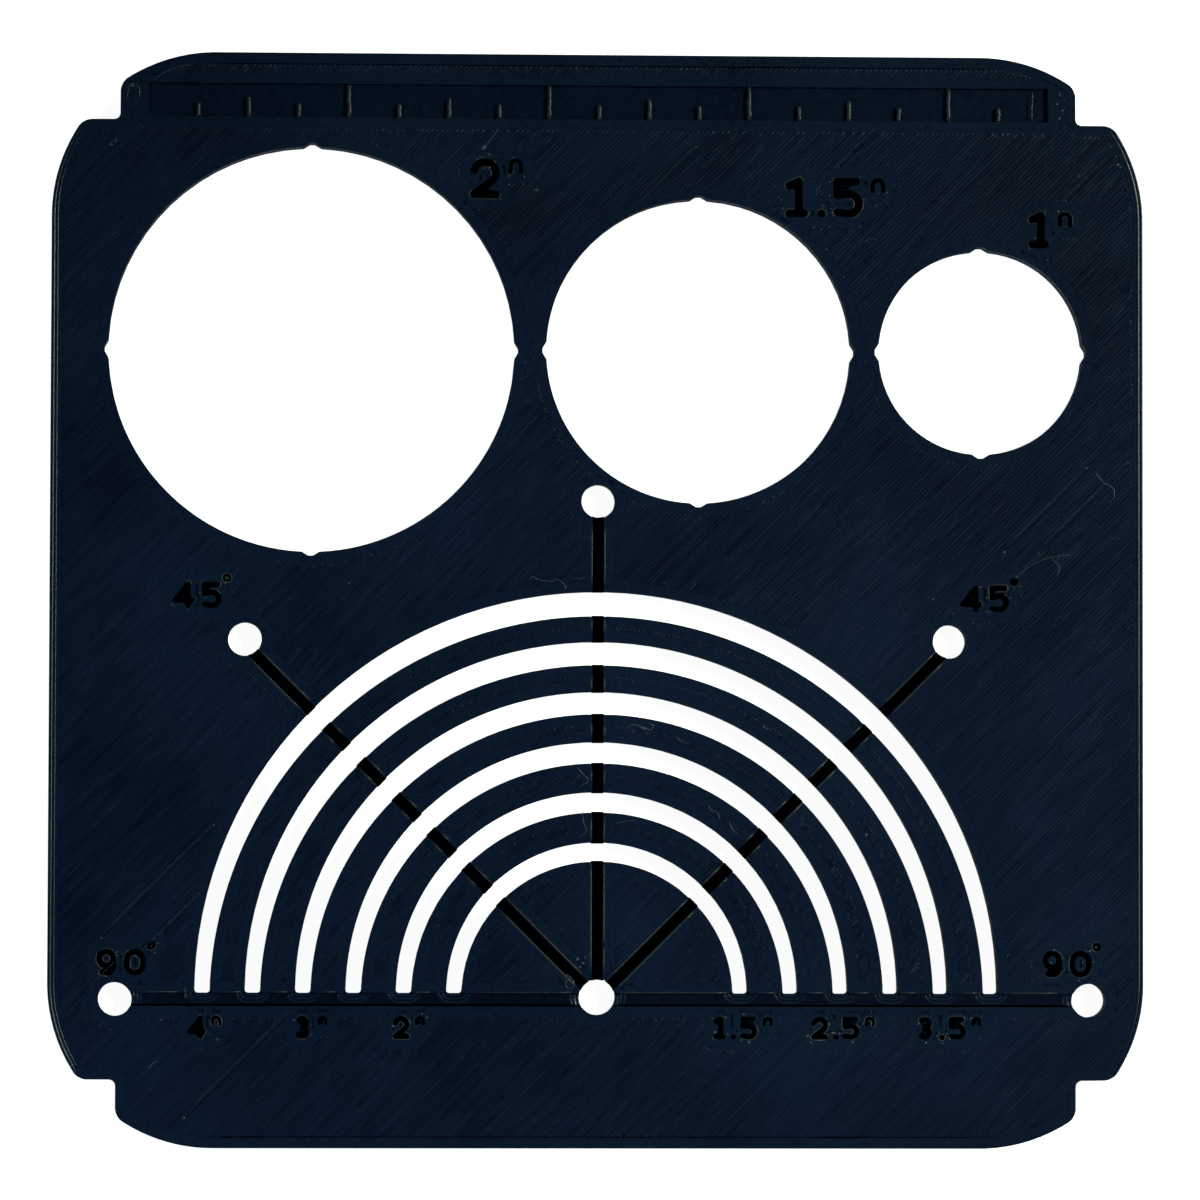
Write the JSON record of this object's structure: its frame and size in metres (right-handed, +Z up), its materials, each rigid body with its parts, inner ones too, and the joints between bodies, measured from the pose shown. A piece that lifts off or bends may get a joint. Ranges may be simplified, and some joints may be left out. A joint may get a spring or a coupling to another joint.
{
  "type": "circle template",
  "caption": "Flat printed circle template with circle holes, half-round slots about a pivot hole, sighting grooves to marker holes and an inch ruler edge.",
  "frame": {"origin": "middle of the plate's underside", "axes": "+X to the right along the ruler, +Y towards the ruler edge, +Z up out of the engraved top face"},
  "size_m": [0.1386, 0.1386, 0.003],
  "materials": {
    "navy_print": "satin",
    "navy_print_marks": "satin"
  },
  "bodies": {
    "root": {"ruler_rail": "navy_print", "quarter_inch_ticks": "navy_print_marks", "half_inch_ticks": "navy_print_marks", "inch_ticks": "navy_print_marks", "panel_2in": "navy_print", "panel_1_5in": "navy_print", "panel_1in": "navy_print", "left_spandrel": "navy_print", "right_spandrel": "navy_print", "arc_band_1": "navy_print", "arc_band_2": "navy_print", "arc_band_3": "navy_print", "arc_band_4": "navy_print", "arc_band_5": "navy_print", "centre_half_disc": "navy_print", "pivot_ring": "navy_print", "zero_mark_ring": "navy_print", "left_45_mark_ring": "navy_print", "right_45_mark_ring": "navy_print", "left_90_mark_ring": "navy_print", "right_90_mark_ring": "navy_print", "label_bar": "navy_print", "foot_rail": "navy_print"}
  },
  "joints": []
}
